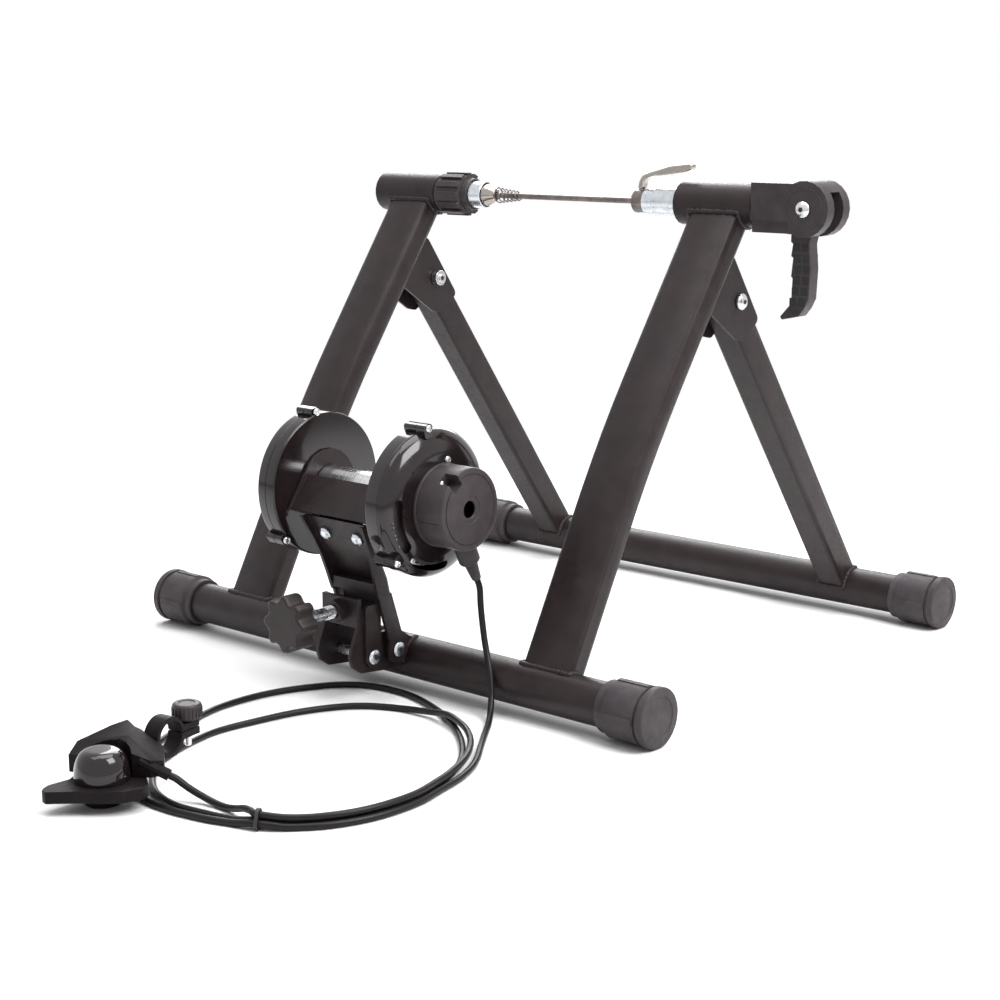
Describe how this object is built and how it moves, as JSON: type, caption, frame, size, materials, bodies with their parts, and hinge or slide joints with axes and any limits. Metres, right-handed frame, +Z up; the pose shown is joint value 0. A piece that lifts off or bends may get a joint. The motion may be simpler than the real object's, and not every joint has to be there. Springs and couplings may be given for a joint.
{
  "type": "magnetic bike trainer",
  "caption": "Folding tube stand that clamps a bicycle's rear axle between two cones and presses a magnetically braked roller on the tyre, set by a remote shifter on a cable",
  "frame": {"origin": "on the floor, in the middle of the overall box without the cable", "axes": "+X towards the clamp lever, +Y rearward, from the roller to the folding legs, +Z up"},
  "size_m": [0.5482, 0.8286, 0.4123],
  "materials": {
    "frame_black": "satin powder coat",
    "gloss_black": "polished moulded plastic",
    "satin_black": "fine-grained moulded plastic",
    "cap_rubber": "matt rubber",
    "shifter_grey": "satin moulded plastic",
    "cable_black": "smooth cable jacket",
    "zinc_plate": "bright zinc plating",
    "bright_steel": "bright drawn steel",
    "chrome": "polished chrome",
    "flywheel_iron": "turned grey iron",
    "brake_alloy": "turned aluminium"
  },
  "bodies": {
    "frame_front": {"front_floor_tube": "frame_black", "main_leg_left": "frame_black", "main_leg_right": "frame_black", "axle_tube_left": "frame_black", "axle_tube_right": "frame_black", "hinge_bracket_left": "frame_black", "hinge_bracket_right": "frame_black", "foot_cap_front_left": "cap_rubber", "foot_cap_front_right": "cap_rubber", "hinge_bolt_left": "bright_steel", "hinge_bolt_right": "bright_steel", "clevis_bracket": "frame_black", "cone_thread_bush": "bright_steel", "cam_housing": "satin_black", "cam_pivot_bolt": "bright_steel", "arm_pivot_bolt": "zinc_plate", "link_pivot_bolt": "zinc_plate", "shifter_body": "shifter_grey", "shifter_cap": "gloss_black", "handlebar_clamp": "shifter_grey", "cable_drop": "cable_black", "cable_loops": "cable_black", "cable_tie": "satin_black"},
    "rear_frame": {"rear_floor_tube": "frame_black", "rear_leg_left": "frame_black", "rear_leg_right": "frame_black", "foot_cap_rear_left": "cap_rubber", "foot_cap_rear_right": "cap_rubber"},
    "clamp_lever": {"clamp_lever": "satin_black"},
    "clamp_spindle": {"clamp_spindle": "zinc_plate", "spindle_spring": "bright_steel"},
    "axle_cone": {"axle_cone": "zinc_plate", "skewer_rod": "chrome", "skewer_spring": "bright_steel"},
    "lock_ring": {"lock_ring": "satin_black"},
    "skewer_lever": {"skewer_lever": "chrome"},
    "skewer_nut": {"skewer_nut": "chrome"},
    "resistance_arm": {"arm_bracket": "frame_black", "roller_cradle": "frame_black", "cradle_bolt_left": "zinc_plate", "cradle_bolt_right": "zinc_plate", "bearing_left": "bright_steel", "bearing_right": "bright_steel", "flywheel_housing_inner": "gloss_black", "flywheel_housing_outer": "gloss_black", "magnet_housing_inner": "gloss_black", "magnet_housing_outer": "gloss_black", "cable_hub_cover": "satin_black", "cable_boot": "cap_rubber"},
    "roller_spin": {"roller": "bright_steel", "roller_shaft": "bright_steel", "flywheel": "flywheel_iron", "brake_disc": "brake_alloy"},
    "magnet_plate": {"magnet_plate": "satin_black"},
    "swing_link": {"swing_link": "frame_black"},
    "tension_screw": {"tension_screw": "zinc_plate"},
    "star_knob": {"star_knob": "gloss_black"},
    "thumb_lever": {"thumb_lever": "shifter_grey"},
    "clamp_screw": {"clamp_screw": "satin_black"},
    "clamp_strap": {"clamp_strap": "shifter_grey"}
  },
  "joints": [
    {"name": "rear_frame_fold", "type": "hinge", "parent": "frame_front", "child": "rear_frame", "pos_m": [0, 0.18485, 0.3029], "axis": [-1, 0, 0], "range_deg": [0, 66]},
    {"name": "clamp_lever_turn", "type": "hinge", "parent": "frame_front", "child": "clamp_lever", "pos_m": [0.252, 0.18455, 0.3799], "axis": [0, -1, 0], "range_deg": [0, 110]},
    {"name": "spindle_slide", "type": "slide", "parent": "frame_front", "child": "clamp_spindle", "axis": [1, 0, 0], "range_m": [0, 0.008]},
    {"name": "cone_slide", "type": "slide", "parent": "frame_front", "child": "axle_cone", "axis": [-1, 0, 0], "range_m": [0, 0.012]},
    {"name": "lock_ring_turn", "type": "hinge", "parent": "frame_front", "child": "lock_ring", "pos_m": [0, 0.18455, 0.3804], "axis": [1, 0, 0], "continuous": true},
    {"name": "skewer_lever_turn", "type": "hinge", "parent": "axle_cone", "child": "skewer_lever", "pos_m": [0.085, 0.18455, 0.3804], "axis": [0, 0, 1], "range_deg": [0, 180]},
    {"name": "skewer_nut_turn", "type": "hinge", "parent": "axle_cone", "child": "skewer_nut", "pos_m": [0, 0.18455, 0.3804], "axis": [1, 0, 0], "continuous": true},
    {"name": "arm_tilt", "type": "hinge", "parent": "frame_front", "child": "resistance_arm", "pos_m": [0.0132, -0.06845, 0.0377], "axis": [1, 0, 0], "range_deg": [0, 11.85]},
    {"name": "roller_turn", "type": "hinge", "parent": "resistance_arm", "child": "roller_spin", "pos_m": [0.0132, -0.07035, 0.1622], "axis": [1, 0, 0], "continuous": true},
    {"name": "magnet_plate_turn", "type": "hinge", "parent": "resistance_arm", "child": "magnet_plate", "pos_m": [0.0132, -0.07035, 0.1622], "axis": [1, 0, 0], "range_deg": [0, 60]},
    {"name": "swing_link_tilt", "type": "hinge", "parent": "frame_front", "child": "swing_link", "pos_m": [0.0132, -0.09265, 0.0359], "axis": [1, 0, 0], "range_deg": [0, 11.46]},
    {"name": "tension_screw_slide", "type": "slide", "parent": "frame_front", "child": "tension_screw", "axis": [0, -1, 0], "range_m": [0, 0.0075]},
    {"name": "star_knob_turn", "type": "hinge", "parent": "tension_screw", "child": "star_knob", "pos_m": [0.0132, -0.08865, 0.0734], "axis": [0, -1, 0], "range_deg": [0, 1800]},
    {"name": "thumb_lever_turn", "type": "hinge", "parent": "frame_front", "child": "thumb_lever", "pos_m": [0.05452, -0.37313, 0], "axis": [0, 0, 1], "range_deg": [0, 90]},
    {"name": "clamp_screw_lift", "type": "slide", "parent": "frame_front", "child": "clamp_screw", "axis": [0, 0, 1], "range_m": [0, 0.004]},
    {"name": "clamp_strap_swing", "type": "hinge", "parent": "frame_front", "child": "clamp_strap", "pos_m": [0.05754, -0.33411, 0.034], "axis": [0.9864, 0.1643, 0], "range_deg": [0, 4.9]}
  ],
  "couplings": [
    {"joint": "spindle_slide", "follows": "clamp_lever_turn", "m_per_rad": 0.00416},
    {"joint": "swing_link_tilt", "follows": "arm_tilt", "ratio": 0.966},
    {"joint": "tension_screw_slide", "follows": "arm_tilt", "m_per_rad": 0.03623},
    {"joint": "star_knob_turn", "follows": "arm_tilt", "ratio": 151.8},
    {"joint": "magnet_plate_turn", "follows": "thumb_lever_turn", "ratio": 0.666},
    {"joint": "clamp_strap_swing", "follows": "clamp_screw_lift", "rad_per_m": 21.25}
  ]
}
